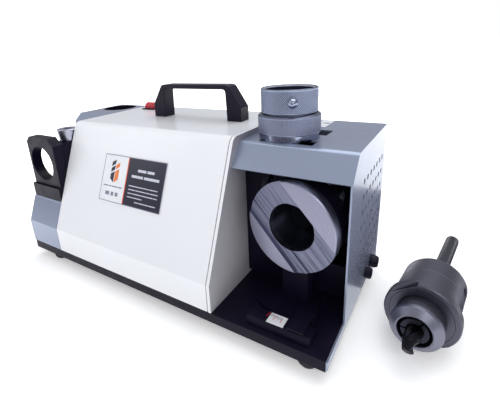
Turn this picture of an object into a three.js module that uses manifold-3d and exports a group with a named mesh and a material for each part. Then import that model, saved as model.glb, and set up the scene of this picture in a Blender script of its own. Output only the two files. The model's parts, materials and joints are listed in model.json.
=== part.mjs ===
// Bench drill bit sharpener: double-ended motor with two grinding wheels, three chuck ports,
// a setting gauge on the top and one loose collet chuck that holds the drill.
// Millimetres, +Z up, +X to the right of someone standing in front, +Y towards the back.
// Inside the `machine` group z = 0 is the underside of the base plate.

import * as THREE from 'three';
import { mergeVertices } from 'three/addons/utils/BufferGeometryUtils.js';
import Module from 'manifold-3d';

const wasm = await Module();
wasm.setup();

// ---------------------------------------------------------------- driving dimensions

const clearance = 0.3; // running or turned seat
const sheet = 1.5; // all bent sheet metal

const base = { length: 400, depth: 180, thickness: 10.5, corner: 2 };
const foot = { height: 12, radius: 10, inset: 20, insetMore: 16, insetY: 14, recess: 3.5, recessDepth: 3 };

const cover = { left: 58.7, right: 287, top: 165, kneeHeight: 39.6, lean: 0.43, bend: 9, kneeBend: 4 };
const liner = { right: 291.3, seam: 0.8, shaftHole: 12, bayDepth: 72 };
const rightHousing = { top: 159.5, frontEdge: 46.4, lintelLow: 138.1, topFront: 63.8, bend: 7, skirt: 2.5 };
const vents = { columns: 7, rows: 7, pitchY: 12.87, pitchZ: 15, firstY: 87.3, lowZ: 38, radius: 3 };
const cutout = { left: 308, right: 359, front: 70.5, back: 130.5, tabLeft: 347.5, tabFront: 86, tabBack: 109 };

const platform = { height: 71, depth: 90.8 };
const leftBox = { front: 91.3, chamferLow: cover.top - 10.3, chamferBack: 103 };

const port = { bore: 22, centreHeight: 93, yaw: -7.2, pivotX: 356.7, pivotY: 84, reach: 44.4 };
const disc = { radius: 42.2, thickness: 9.5, chamfer: 1 };
const keyway = { low: -25, high: 22.6, depth: 2.8, innerLow: -15, innerHigh: 14, innerDepth: 0.8, turn: 45 };
const barrel = { radius: 40, length: 21.5 };
const portSleeve = { wall: 3, length: 29 };
const portPost = { halfWidth: 13, depth: 10 };
const table = { thickness: 4, frontRadius: 60, hubRadius: 15, halfAngle: 30, pin: 6, pinHead: 10 };
const scale = { left: 325, right: 383, front: 6, back: 22.3, height: 7.3, slope: 2.4 };
const scaleLabel = { left: 343.3, right: 358.8, front: 8.6, back: 20.6, thickness: 0.5 };

const gauge = { x: 327.4, y: 95.7, flange: 28.3, flangeTop: 165.3, lower: 29.2, lowerTop: 182.5 };
const gaugeUpper = { radius: 26.2, bottom: 183.4, top: 205.6, pinAzimuth: -61, pinHead: 4.6 };
const gaugeSleeve = { wall: 2, bottom: 139.5 };
const gaugeTray = { left: 297, right: 364, front: 68, back: 136, floor: 146, plate: 2 };

const reliefPort = { x: 26, y: 153.5, wall: 1.2, length: 34, plate: 2.4 };
const thinning = { left: 3.5, right: 58.2, front: 17, depth: 12.6, top: 150, boreX: 28.6, boreZ: 116.7 };
const thinningBase = { left: 0.6, front: 14.2, back: 62, top: 88 };
const thinningArm = { left: 51, back: 62, top: 141.3, plateLeft: 34, plateFront: 36, plate: 2.4 };
const knob = { x: 45.4, y: 49, radius: 12.8, lowRadius: 10.8, height: 15, bore: 5 };

const handle = { x: 200, front: 114.4, depth: 17.3, innerHalf: 45.3, foot: 18.1, height: 39.4 };
const handleBar = { thickness: 4.8, topHalf: 47, shoulder: 15.5, corner: 4 };

const rocker = { x: 87.5, y: 165, width: 16, length: 24, rise: 8, bezel: 3, bezelHeight: 1.6 };
const frontLabel = { left: 126.8, right: 220, low: 86.5, high: 134.6, thickness: 0.5, gap: 0.25 };
const ratingPlate = { left: 297, right: 347, front: 142, back: 177.5, thickness: 0.6 };

const motor = { axisY: 128, axisZ: 92, radius: 44, left: 92, right: 226, bell: 9, rotor: 24, core: 25 };
const shaft = { radius: 7, left: 14, right: 372 };
const bearing = { radius: 15, width: 9 };
const fan = { radius: 36, width: 10, hub: 12, blades: 9, gap: 5 };
const wheel = { x: 352, width: 14, hubRadius: 28, radius: 39.5, rim: 9 };
const thinningWheel = { x: 27, width: 8, hubRadius: 24, radius: 33, rim: 7 };
const wheelNut = { radius: 11, thickness: 6 };
const guard = { radius: 45.5, left: 335, right: 371, openFrom: 140, openTo: 238 };
const capacitor = { radius: 15, left: 118, right: 182, y: 46, footHalf: 19 };
const sidePorts = { glandY: 146, fuseY: 122, z: 16, gland: 7, fuse: 6, reach: 8 };

const chuck = { x: base.length + 52, y: 55.5, nose: 20.6, noseBody: 19.2, flange: 30, rear: 26.5, hole: 13.3 };
const indexNotch = { half: 12.6, depth: 4.8, turn: -35 };
const chuckAt = { nutEnd: 8, flangeFront: 21, flangeBack: 30, rearEnd: 79 };
const drill = { radius: 6.5, tip: -22, shankEnd: 172, pointAngle: 118 };

const round = 48; // segments of a visible ring
const small = 24; // segments of a small turned piece

// ---------------------------------------------------------------- materials

function finish(colour, roughness, metalness) {
  return new THREE.MeshStandardMaterial({ color: colour, roughness, metalness });
}

const silverPaint = finish(0xa9b4cc, 0.35, 0.5);
const whitePaint = finish(0xf1f2f6, 0.2, 0);
const palePaint = finish(0xb9b7bd, 0.35, 0);
const blackPaint = finish(0x22222a, 0.45, 0.1);
const blackPlastic = finish(0x1d1c22, 0.4, 0);
const rubber = finish(0x141416, 0.9, 0);
const steel = finish(0x9aa3b8, 0.25, 1);
const darkSteel = finish(0x4a4b55, 0.4, 0.9);
const aluminium = finish(0xb8bcc6, 0.35, 1);
const redPlastic = finish(0xc81f2e, 0.3, 0);
const abrasive = finish(0x4b4a40, 0.95, 0);
const labelFilm = finish(0xe9eaee, 0.4, 0);

// ---------------------------------------------------------------- geometry helpers

function bare(geometry) {
  const copy = geometry.index ? geometry.clone() : mergeVertices(geometry);
  copy.deleteAttribute('normal');
  copy.deleteAttribute('uv');
  copy.clearGroups();
  return mergeVertices(copy, 1e-4);
}

function solid(geometry) {
  const merged = bare(geometry);
  const vertProperties = new Float32Array(merged.attributes.position.array);
  const triVerts = new Uint32Array(merged.index.array);
  const body = new wasm.Manifold(new wasm.Mesh({ numProp: 3, vertProperties, triVerts }));
  return body;
}

function surface(body) {
  const mesh = body.getMesh();
  const geometry = new THREE.BufferGeometry();
  geometry.setAttribute('position', new THREE.BufferAttribute(new Float32Array(mesh.vertProperties), 3));
  geometry.setIndex(new THREE.BufferAttribute(new Uint32Array(mesh.triVerts), 1));
  geometry.computeVertexNormals();
  return geometry;
}

function cut(geometry, ...tools) {
  return surface(tools.reduce((body, tool) => body.subtract(solid(tool)), solid(geometry)));
}

function join(...geometries) {
  const [first, ...rest] = geometries.map(solid);
  return surface(rest.reduce((body, other) => body.add(other), first));
}

function box(x0, x1, y0, y1, z0, z1) {
  const geometry = new THREE.BoxGeometry(x1 - x0, y1 - y0, z1 - z0);
  return geometry.translate((x0 + x1) / 2, (y0 + y1) / 2, (z0 + z1) / 2);
}

function shapeOf(points, ...holes) {
  const shape = new THREE.Shape(points.map(([a, b]) => new THREE.Vector2(a, b)));
  shape.holes = holes;
  return shape;
}

function roundHole(a, b, radius) {
  const hole = new THREE.Path();
  hole.absarc(a, b, radius, 0, Math.PI * 2, true);
  return hole;
}

function extrude(shape, depth, curveSegments = 6) {
  return new THREE.ExtrudeGeometry(shape, { depth, bevelEnabled: false, steps: 1, curveSegments });
}

// shape drawn in (y, z), swept from x0 to x1
function alongX(shape, x0, x1, curveSegments) {
  const turn = new THREE.Matrix4().makeBasis(
    new THREE.Vector3(0, 1, 0),
    new THREE.Vector3(0, 0, 1),
    new THREE.Vector3(1, 0, 0),
  );
  return extrude(shape, x1 - x0, curveSegments).applyMatrix4(turn).translate(x0, 0, 0);
}

// shape drawn in (x, z), swept from y0 to y1
function alongY(shape, y0, y1, curveSegments) {
  return extrude(shape, y1 - y0, curveSegments).rotateX(Math.PI / 2).translate(0, y1, 0);
}

// shape drawn in (x, y), swept from z0 to z1
function alongZ(shape, z0, z1, curveSegments) {
  return extrude(shape, z1 - z0, curveSegments).translate(0, 0, z0);
}

// turned piece about Y from [radius, y] points, closed on itself or starting and ending on the axis
function turned(points, segments = round) {
  const profile = points.map(([radius, y]) => new THREE.Vector2(radius, y));
  const geometry = bare(new THREE.LatheGeometry(profile, segments));
  return volume(geometry) < 0 ? flipped(geometry) : geometry;
}

function turnedZ(points, segments) {
  return turned(points, segments).rotateX(Math.PI / 2);
}

function turnedX(points, segments) {
  return turned(points, segments).rotateZ(-Math.PI / 2);
}

function ring(outer, inner, from, to) {
  return [[inner, from], [outer, from], [outer, to], [inner, to], [inner, from]];
}

function rod(radius, from, to) {
  return [[0, from], [radius, from], [radius, to], [0, to]];
}

function volume(geometry) {
  const position = geometry.attributes.position;
  const corner = [0, 1, 2].map(() => new THREE.Vector3());
  let sum = 0;
  for (let i = 0; i < geometry.index.count; i += 3) {
    corner.forEach((point, k) => point.fromBufferAttribute(position, geometry.index.getX(i + k)));
    sum += corner[0].dot(corner[1].clone().cross(corner[2]));
  }
  return sum / 6;
}

function flipped(geometry) {
  const order = geometry.index.array;
  for (let i = 0; i < order.length; i += 3) {
    [order[i], order[i + 1]] = [order[i + 1], order[i]];
  }
  return geometry;
}

// The two faces of a bent sheet. The path is [a, b, bend radius] points along its outer face,
// and the sheet lies to the right of the path.
function bentFaces(path, thickness) {
  const outer = [];
  const inner = [];
  const points = path.map(([a, b]) => new THREE.Vector2(a, b));
  const rightOf = (from, to) => {
    const way = to.clone().sub(from).normalize();
    return new THREE.Vector2(way.y, -way.x);
  };
  points.forEach((here, i) => {
    const before = i > 0 ? rightOf(points[i - 1], here) : rightOf(here, points[i + 1]);
    const after = i < points.length - 1 ? rightOf(here, points[i + 1]) : before;
    const mitre = before.clone().add(after).divideScalar(1 + before.dot(after));
    const radius = path[i][2] ?? 0;
    const turnsRight = before.cross(after) < 0;
    const side = turnsRight ? 1 : -1;
    const centre = here.clone().addScaledVector(mitre, side * radius);
    const steps = radius > 0 ? 5 : 0;
    for (let k = 0; k <= steps; k += 1) {
      const normal = before.clone().lerp(after, steps ? k / steps : 0).normalize();
      const reach = steps ? side * radius : 0;
      const onOuter = steps ? centre.clone().addScaledVector(normal, -reach) : here.clone();
      const offset = steps ? normal : mitre;
      outer.push([onOuter.x, onOuter.y]);
      inner.push([onOuter.x + offset.x * thickness, onOuter.y + offset.y * thickness]);
    }
  });
  return { outer, inner };
}

function bentSheet(path, x0, x1, thickness = sheet) {
  const { outer, inner } = bentFaces(path, thickness);
  return alongX(shapeOf([...outer, ...inner.reverse()]), x0, x1);
}

function panelUnder(path, closing, x0, x1) {
  const { outer } = bentFaces(path, sheet);
  return alongX(shapeOf([...outer, ...closing]), x0, x1);
}

function piece(parent, name, geometry, material) {
  const mesh = new THREE.Mesh(geometry, material);
  mesh.name = name;
  parent.add(mesh);
  return mesh;
}

// ---------------------------------------------------------------- derived places

const baseTop = base.thickness;
const baseRight = base.length - sheet;
const slopeTop = cover.lean * (cover.top - cover.kneeHeight);
const platformFront = cover.lean * (platform.height - cover.kneeHeight);
const rearFace = base.depth - sheet;
const gaugeSleeveOuter = port.bore + gaugeSleeve.wall;
const gaugeRingBore = gaugeSleeveOuter + clearance;

const coverPath = [
  [0, baseTop],
  [0, cover.kneeHeight, cover.kneeBend],
  [slopeTop, cover.top, cover.bend],
  [base.depth, cover.top],
];

const machine = new THREE.Group();

// ---------------------------------------------------------------- base and feet

function buildBase() {
  const { length, depth, corner } = base;
  const edge = baseRight;
  const outline = [
    [corner, 0],
    [edge, 0],
    [edge, depth],
    [corner, depth],
    [0, depth - corner],
    [0, corner],
  ];
  piece(machine, 'base_plate', alongZ(shapeOf(outline), 0, baseTop), blackPaint);

  const { height, radius, recess, recessDepth, inset, insetMore, insetY } = foot;
  const profile = [
    [0, 0],
    [radius, 0],
    [radius, -height * 0.45],
    [radius * 0.93, -height * 0.75],
    [radius * 0.72, -height],
    [recess, -height],
    [recess, recessDepth - height],
    [0, recessDepth - height],
  ];
  const columns = { left: inset + insetMore, right: length - inset };
  const rows = { front: insetY, rear: depth - insetY };
  for (const [row, y] of Object.entries(rows)) {
    for (const [column, x] of Object.entries(columns)) {
      piece(machine, `foot_${row}_${column}`, turnedZ(profile, small).translate(x, y, 0), rubber);
    }
  }
}

// ---------------------------------------------------------------- housings

function buildWhiteCover() {
  const { x, y, width, length } = rocker;
  const halfX = width / 2 + 1;
  const halfY = length / 2 + 1;
  const opening = box(x - halfX, x + halfX, y - halfY, y + halfY, cover.top - 5, cover.top + 5);
  const shell = bentSheet(coverPath, cover.left, cover.right);
  piece(machine, 'white_cover', cut(shell, opening), whitePaint);
}

function buildBayLiner() {
  const start = cover.right + liner.seam;
  const flange = bentSheet(coverPath, start, liner.right);
  const closing = [[base.depth, baseTop]];
  const wall = panelUnder(coverPath, closing, liner.right - sheet, liner.right);
  const hole = turnedX(rod(liner.shaftHole, start, liner.right + 1), small);
  hole.translate(0, motor.axisY, motor.axisZ);
  const rearNotch = box(start - 1, liner.right + 1, rearFace - 0.01, base.depth + 1, 0, cover.top - sheet);
  piece(machine, 'bay_liner', cut(join(flange, wall), hole, rearNotch), palePaint);
}

function ventTools() {
  const tools = [];
  for (let row = 0; row < vents.rows; row += 1) {
    for (let column = 0; column < vents.columns; column += 1) {
      const y = vents.firstY + column * vents.pitchY;
      const z = vents.lowZ + row * vents.pitchZ;
      const tool = turnedX(rod(vents.radius, baseRight - 1, base.length + 1), 10);
      tools.push(tool.translate(0, y, z));
    }
  }
  return tools;
}

function buildRightHousing() {
  const { top, frontEdge, lintelLow, topFront, bend, skirt } = rightHousing;
  const start = liner.right;
  const path = [
    [frontEdge, lintelLow],
    [topFront, top, bend],
    [base.depth, top],
  ];
  const roof = bentSheet(path, start, base.length - sheet);
  const closing = [
    [base.depth, skirt],
    [0, skirt],
    [0, baseTop],
    [frontEdge, baseTop],
  ];
  const side = panelUnder(path, closing, base.length - sheet, base.length);
  const { left, right, front, back, tabLeft, tabFront, tabBack } = cutout;
  const tab = box(tabLeft, right + 1, tabFront, tabBack, top - 6, top + 6);
  const window = cut(box(left, right, front, back, top - 5, top + 5), tab);
  const gaugeHole = turnedZ(rod(gaugeRingBore, top - 5, top + 5)).translate(gauge.x, gauge.y, 0);
  const holes = [
    [sidePorts.glandY, sidePorts.gland],
    [sidePorts.fuseY, sidePorts.fuse],
  ].map(([y, radius]) => {
    const tool = turnedX(rod(radius - 2 + clearance, baseRight - 1, base.length + 1), small);
    return tool.translate(0, y, sidePorts.z);
  });
  const shell = cut(join(roof, side), window, gaugeHole, ...holes, ...ventTools());
  piece(machine, 'right_housing', shell, silverPaint);
}

function louvres() {
  const slots = [];
  for (let i = 0; i < 8; i += 1) {
    const x = 110 + i * 14;
    slots.push(box(x, x + 5, rearFace - 1, base.depth + 1, 60, 120));
  }
  return slots;
}

function buildRearPanel() {
  const left = sheet;
  const outline = [
    [left, baseTop],
    [baseRight, baseTop],
    [baseRight, rightHousing.top - sheet],
    [liner.right, rightHousing.top - sheet],
    [liner.right, cover.top - sheet],
    [left, cover.top - sheet],
  ];
  const plate = alongY(shapeOf(outline), rearFace, base.depth);
  piece(machine, 'rear_panel', cut(plate, ...louvres()), silverPaint);
}

function buildLeftHousings() {
  const right = cover.left - clearance;
  const lowPath = [
    [0, baseTop],
    [0, cover.kneeHeight, cover.kneeBend],
    [platformFront, platform.height, 3],
    [platform.depth, platform.height],
  ];
  const lowEnd = panelUnder(lowPath, [[platform.depth, baseTop]], 0, sheet);
  const lower = join(bentSheet(lowPath, 0, right), lowEnd);
  piece(machine, 'left_lower_housing', lower, silverPaint);

  const { front, chamferLow, chamferBack } = leftBox;
  const highPath = [
    [front, baseTop],
    [front, chamferLow, 3],
    [chamferBack, cover.top, 3],
    [base.depth, cover.top],
  ];
  const highEnd = panelUnder(highPath, [[base.depth, baseTop]], 0, sheet);
  const shell = join(bentSheet(highPath, 0, right), highEnd);
  const drillWay = turned(rod(port.bore + 1, front - 1, front + 6), small);
  drillWay.translate(thinning.boreX, 0, thinning.boreZ);
  const topHole = turnedZ(rod(port.bore + reliefPort.wall + clearance, cover.top - 4, cover.top + 1), round);
  topHole.translate(reliefPort.x, reliefPort.y, 0);
  const notch = box(sheet, right + 1, rearFace, base.depth + 1, 0, cover.top - sheet);
  piece(machine, 'left_upper_housing', cut(shell, drillWay, topHole, notch), silverPaint);
}

function buildBayBack() {
  const { bayDepth } = liner;
  const left = liner.right;
  const low = baseTop + table.thickness + 2 * clearance + 0.4;
  const openLeft = 308;
  const openLow = port.centreHeight - barrel.radius - 4;
  const top = gaugeTray.floor - gaugeTray.plate - clearance;
  const outline = [
    [left, low],
    [baseRight, low],
    [baseRight, openLow],
    [openLeft, openLow],
    [openLeft, top],
    [left, top],
  ];
  const plate = alongY(shapeOf(outline), bayDepth, bayDepth + sheet);
  piece(machine, 'bay_back_plate', plate, blackPaint);
}

// ---------------------------------------------------------------- carrying handle

function buildHandle() {
  const { x, front, depth, innerHalf, foot: footWidth, height } = handle;
  const { thickness, topHalf, shoulder, corner } = handleBar;
  const low = cover.top;
  const outerHalf = innerHalf + footWidth;
  const outline = new THREE.Shape();
  outline.moveTo(-outerHalf, 0);
  outline.lineTo(-outerHalf, shoulder);
  outline.lineTo(-topHalf - corner / 2, height - corner / 2);
  outline.quadraticCurveTo(-topHalf, height, -topHalf + corner, height);
  outline.lineTo(topHalf - corner, height);
  outline.quadraticCurveTo(topHalf, height, topHalf + corner / 2, height - corner / 2);
  outline.lineTo(outerHalf, shoulder);
  outline.lineTo(outerHalf, 0);
  outline.lineTo(innerHalf, 0);
  outline.lineTo(innerHalf - 1, height - thickness - corner);
  outline.quadraticCurveTo(innerHalf - 1, height - thickness, innerHalf - 1 - corner, height - thickness);
  outline.lineTo(1 + corner - innerHalf, height - thickness);
  outline.quadraticCurveTo(1 - innerHalf, height - thickness, 1 - innerHalf, height - thickness - corner);
  outline.lineTo(-innerHalf, 0);
  outline.closePath();
  const body = alongY(outline, front, front + depth, 4).translate(x, 0, low);
  piece(machine, 'carry_handle', body, blackPlastic);
}

// ---------------------------------------------------------------- power switch

function buildSwitch() {
  const { x, y, width, length, rise, bezel, bezelHeight } = rocker;
  const halfX = width / 2;
  const halfY = length / 2;
  const rim = bezel;
  const top = cover.top;
  const frame = cut(
    box(x - halfX - rim, x + halfX + rim, y - halfY - rim, y + halfY + rim, top, top + bezelHeight),
    box(x - halfX - clearance, x + halfX + clearance, y - halfY - clearance, y + halfY + clearance, 0, top + 9),
  );
  piece(machine, 'switch_bezel', frame, blackPlastic);

  const crown = [
    [-halfY, clearance],
    [halfY, clearance],
    [halfY, bezelHeight + 1.5],
    [halfY * 0.45, bezelHeight + rise * 0.72],
    [0, bezelHeight + rise * 0.82],
    [-halfY * 0.5, bezelHeight + rise],
    [-halfY * 0.9, bezelHeight + rise * 0.72],
    [-halfY, bezelHeight + rise * 0.3],
  ];
  const paddle = alongX(shapeOf(crown), x - halfX, x + halfX).translate(0, y, top);
  piece(machine, 'switch_rocker', paddle, redPlastic);
}

// ---------------------------------------------------------------- labels and small trim

function buildLabels() {
  const slope = Math.atan(cover.lean);
  const outward = [-Math.cos(slope), Math.sin(slope)];
  const onSlope = (z, off) => [
    cover.lean * (z - cover.kneeHeight) + outward[0] * off,
    z + outward[1] * off,
  ];
  const { left, right, low, high, thickness, gap } = frontLabel;
  const outline = [
    onSlope(low, gap),
    onSlope(low, gap + thickness),
    onSlope(high, gap + thickness),
    onSlope(high, gap),
  ];
  piece(machine, 'front_label', alongX(shapeOf(outline.reverse()), left, right), labelFilm);

  const plate = ratingPlate;
  const top = rightHousing.top;
  const film = box(plate.left, plate.right, plate.front, plate.back, top, top + plate.thickness);
  piece(machine, 'rating_plate', film, labelFilm);
}

// ---------------------------------------------------------------- front port

const portGroup = new THREE.Group();
portGroup.position.set(port.pivotX, port.pivotY, 0);
portGroup.rotation.z = THREE.MathUtils.degToRad(port.yaw);
machine.add(portGroup);

function buildFrontPort() {
  const front = -port.reach;
  const height = port.centreHeight;
  const { radius, thickness, chamfer } = disc;
  const profile = [
    [port.bore, front],
    [radius - chamfer, front],
    [radius, front + chamfer],
    [radius, front + thickness],
    [port.bore, front + thickness],
    [port.bore, front],
  ];
  const slot = (low, high, depth) => {
    const tool = box(-radius - 5, radius + 5, -5, depth, low, high);
    return tool.rotateY(THREE.MathUtils.degToRad(keyway.turn)).translate(0, front, 0);
  };
  const face = cut(
    turned(profile, 64),
    slot(keyway.low, keyway.high, keyway.depth),
    slot(keyway.innerLow, keyway.innerHigh, keyway.depth + keyway.innerDepth),
  );
  piece(portGroup, 'port_disc', face.translate(0, 0, height), steel);

  const back = front + thickness;
  const sleeveOuter = port.bore + portSleeve.wall;
  const sleeve = turned(ring(sleeveOuter, port.bore, back, back + portSleeve.length));
  piece(portGroup, 'port_sleeve', sleeve.translate(0, 0, height), steel);

  const shell = turned(ring(barrel.radius, sleeveOuter + clearance, back, back + barrel.length), 64);
  piece(portGroup, 'port_barrel', shell.translate(0, 0, height), blackPaint);

  const tableTop = baseTop + clearance + table.thickness;
  const { halfWidth, depth: postDepth } = portPost;
  const post = box(-halfWidth, halfWidth, back + 1, back + 1 + postDepth, tableTop, height - 25);
  const bed = turned(rod(barrel.radius + clearance, back - 5, back + barrel.length + 5), 64);
  piece(portGroup, 'port_post', cut(post, bed.translate(0, 0, height)), blackPaint);

  buildSwivelTable();
}

function buildSwivelTable() {
  const low = baseTop + clearance;
  const top = low + table.thickness;
  const outline = new THREE.Shape();
  const half = THREE.MathUtils.degToRad(table.halfAngle);
  const down = -Math.PI / 2;
  outline.absarc(0, 0, table.frontRadius, down - half, down + half, false);
  outline.absarc(0, 0, table.hubRadius, down + half + 0.6, down - half - 0.6, false);
  outline.closePath();
  outline.holes = [roundHole(0, 0, table.pin + clearance)];
  piece(portGroup, 'swivel_table', alongZ(outline, low, top, 16), blackPaint);

  const reach = scale.back + 4.2 - port.pivotY;
  const tip = scale.front + 2 - port.pivotY;
  const rise = baseTop + scale.height + scaleLabel.thickness + clearance;
  const pointer = [
    [reach + 7, top],
    [reach + 7, rise + 2],
    [tip, rise + 2],
    [tip, rise],
    [reach, rise],
    [reach, top],
  ];
  const arrow = alongX(shapeOf(pointer.reverse()), 5.5, 20.5);
  const turnBack = -THREE.MathUtils.degToRad(port.yaw);
  piece(portGroup, 'angle_pointer', arrow.rotateZ(turnBack), darkSteel);

  const pinTop = top + clearance;
  const pin = turnedZ([
    [0, baseTop],
    [table.pin, baseTop],
    [table.pin, pinTop],
    [table.pinHead, pinTop],
    [table.pinHead, pinTop + 4],
    [0, pinTop + 4],
  ], small);
  piece(machine, 'swivel_pin', pin.translate(port.pivotX, port.pivotY, 0), steel);
}

function buildScale() {
  const { left, right, front, back, height, slope } = scale;
  const top = baseTop + height;
  const outline = [
    [front, baseTop],
    [front, top - slope],
    [front + slope, top],
    [back, top],
    [back, baseTop],
  ];
  piece(machine, 'scale_block', alongX(shapeOf(outline.reverse()), left, right), blackPaint);
  const label = scaleLabel;
  const plate = box(label.left, label.right, label.front, label.back, top, top + label.thickness);
  piece(machine, 'angle_scale_plate', plate, aluminium);
}

// ---------------------------------------------------------------- setting gauge on the top

function buildGauge() {
  const { x, y, flange, flangeTop, lower, lowerTop } = gauge;
  const top = rightHousing.top;
  const sleeveOuter = gaugeSleeveOuter;
  const ringBore = gaugeRingBore;
  const place = (geometry) => geometry.translate(x, y, 0);

  const tray = gaugeTray;
  const under = top - sheet;
  const trayLow = tray.floor - tray.plate;
  const floor = box(tray.left, tray.right, tray.front, tray.back, trayLow, tray.floor);
  const leftWall = box(tray.left, tray.left + tray.plate, tray.front, tray.back, trayLow, under);
  const rightWall = box(tray.right - tray.plate, tray.right, tray.front, tray.back, trayLow, under);
  const bore = place(turnedZ(rod(ringBore, tray.floor - 5, tray.floor + 5)));
  piece(machine, 'gauge_tray', cut(join(floor, leftWall, rightWall), bore), blackPaint);

  const collar = tray.floor + 3;
  const sleeve = place(turnedZ([
    [port.bore, gaugeSleeve.bottom],
    [sleeveOuter, gaugeSleeve.bottom],
    [sleeveOuter, tray.floor],
    [sleeveOuter + 3, tray.floor],
    [sleeveOuter + 3, collar],
    [sleeveOuter, collar],
    [sleeveOuter, gaugeUpper.top - 1.5],
    [port.bore, gaugeUpper.top - 1.5],
    [port.bore, gaugeSleeve.bottom],
  ]));
  piece(machine, 'gauge_sleeve', sleeve, steel);
  piece(machine, 'gauge_flange', place(turnedZ(ring(flange, ringBore, top, flangeTop), 64)), steel);

  const lowerFrom = flangeTop + clearance;
  const lowerRing = turnedZ([
    [ringBore, lowerFrom],
    [lower, lowerFrom],
    [lower, lowerTop - 1.5],
    [lower - 1.5, lowerTop],
    [ringBore, lowerTop],
    [ringBore, lowerFrom],
  ], 64);
  piece(machine, 'gauge_lower_ring', place(lowerRing), steel);

  const { radius, bottom, top: upperTop, pinAzimuth, pinHead } = gaugeUpper;
  const upperRing = place(turnedZ([
    [ringBore, bottom],
    [radius, bottom],
    [radius, upperTop - 0.8],
    [radius - 0.8, upperTop],
    [ringBore, upperTop],
    [ringBore, bottom],
  ], 64));
  piece(machine, 'gauge_upper_ring', upperRing, steel);

  const azimuth = THREE.MathUtils.degToRad(pinAzimuth);
  const head = turnedX([
    [0, 0],
    [pinHead * 0.62, 0],
    [pinHead, 1.6],
    [pinHead * 0.8, 4],
    [pinHead * 0.4, 5.4],
    [0, 5.8],
  ], 16);
  head.translate(radius + clearance, 0, (bottom + upperTop) / 2).rotateZ(azimuth);
  piece(machine, 'gauge_pin', place(head), steel);
}

// ---------------------------------------------------------------- left-hand ports

function buildLeftPorts() {
  const { x, y, wall, length, plate } = reliefPort;
  const outer = port.bore + wall;
  const top = cover.top;
  const under = top - sheet;
  const tube = turnedZ(ring(outer, port.bore, top - length, top), 48).translate(x, y, 0);
  const side = box(2, 56, y - 24.4, rearFace - 0.5, under - plate, under);
  const clearBore = turnedZ(rod(outer - 0.2, under - 9, under + 9), 48).translate(x, y, 0);
  piece(machine, 'relief_port', join(cut(side, clearBore), tube), blackPaint);

  const { left, right, front, depth, top: blockTop, boreX, boreZ } = thinning;
  const seat = thinningBase.top;
  const slantLeft = 6.5;
  const slantRight = 9;
  const outline = [
    [left, seat],
    [right, seat],
    [right, blockTop - slantRight],
    [right - slantRight, blockTop],
    [left + slantLeft, blockTop],
    [left, blockTop - slantLeft],
  ];
  const shape = shapeOf(outline, roundHole(boreX, boreZ, port.bore));
  piece(machine, 'thinning_port_block', alongY(shape, front, front + depth, 24), blackPaint);

  const slide = thinningBase;
  const slideBlock = box(slide.left, right, slide.front, slide.back, platform.height, slide.top);
  piece(machine, 'thinning_port_base', slideBlock, blackPaint);

  const arm = thinningArm;
  const cheek = box(arm.left, right, front + depth + clearance, arm.back, seat, arm.top);
  const shelf = box(arm.plateLeft, right, arm.plateFront, arm.back, arm.top - arm.plate, arm.top);
  piece(machine, 'thinning_arm', join(cheek, shelf), blackPaint);

  const low = arm.top + clearance;
  const { radius, lowRadius, height, bore } = knob;
  const dial = turnedZ([
    [0, low],
    [lowRadius, low],
    [lowRadius + 0.4, low + 3],
    [radius - 0.6, low + height - 2],
    [radius, low + height - 1],
    [radius - 1, low + height],
    [bore, low + height],
    [bore, low + height - 6],
    [0, low + height - 6],
  ], round);
  piece(machine, 'thinning_knob', dial.translate(knob.x, knob.y, 0), steel);
}

// ---------------------------------------------------------------- motor and wheels

function buildMotor() {
  const { axisY, axisZ, radius, left, right, bell, rotor, core } = motor;
  const wall = radius - 2 * sheet;
  const airGap = rotor + 1;
  const onAxis = (geometry) => geometry.translate(0, axisY, axisZ);
  const can = turnedX([
    [wall, left],
    [radius, left],
    [radius, right],
    [wall, right],
    [wall, right - core],
    [airGap, right - core],
    [airGap, left + core],
    [wall, left + core],
    [wall, left],
  ]);
  piece(machine, 'motor_can', onAxis(can), blackPaint);

  const seat = bearing.radius + clearance;
  const bells = { motor_bell_left: [left - bell, left], motor_bell_right: [right, right + bell] };
  for (const [name, [from, to]] of Object.entries(bells)) {
    piece(machine, name, onAxis(turnedX(ring(radius, seat, from, to))), aluminium);
  }
  const races = { bearing_left: left - bell, bearing_right: right };
  for (const [name, from] of Object.entries(races)) {
    const profile = ring(bearing.radius, shaft.radius + clearance, from, from + bearing.width);
    piece(machine, name, onAxis(turnedX(profile, small)), steel);
  }

  const saddle = box(left + 18, right - 18, axisY - 36, axisY + 36, baseTop, axisZ - 20);
  const bed = onAxis(turnedX(rod(radius + clearance, left - 20, right + 20)));
  piece(machine, 'motor_saddle', cut(saddle, bed), blackPaint);

  const spindle = turnedX([
    [0, shaft.left],
    [shaft.radius, shaft.left],
    [shaft.radius, left + core],
    [rotor, left + core],
    [rotor, right - core],
    [shaft.radius, right - core],
    [shaft.radius, shaft.right],
    [0, shaft.right],
  ], 32);
  piece(machine, 'rotor_shaft', onAxis(spindle), steel);
  buildFan(onAxis);
  buildWheels(onAxis);
}

function buildFan(onAxis) {
  const from = motor.right + motor.bell + fan.gap;
  const bore = shaft.radius + clearance;
  const hub = turnedX(ring(fan.hub, bore, from, from + fan.width), small);
  const back = turnedX(ring(fan.radius, bore, from, from + 2), 32);
  const blades = [];
  for (let i = 0; i < fan.blades; i += 1) {
    const blade = box(from + 1, from + fan.width, -0.8, 0.8, fan.hub - 1, fan.radius - 1);
    blades.push(blade.rotateX((i / fan.blades) * Math.PI * 2));
  }
  piece(machine, 'cooling_fan', onAxis(join(hub, back, ...blades)), blackPlastic);
}

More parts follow.
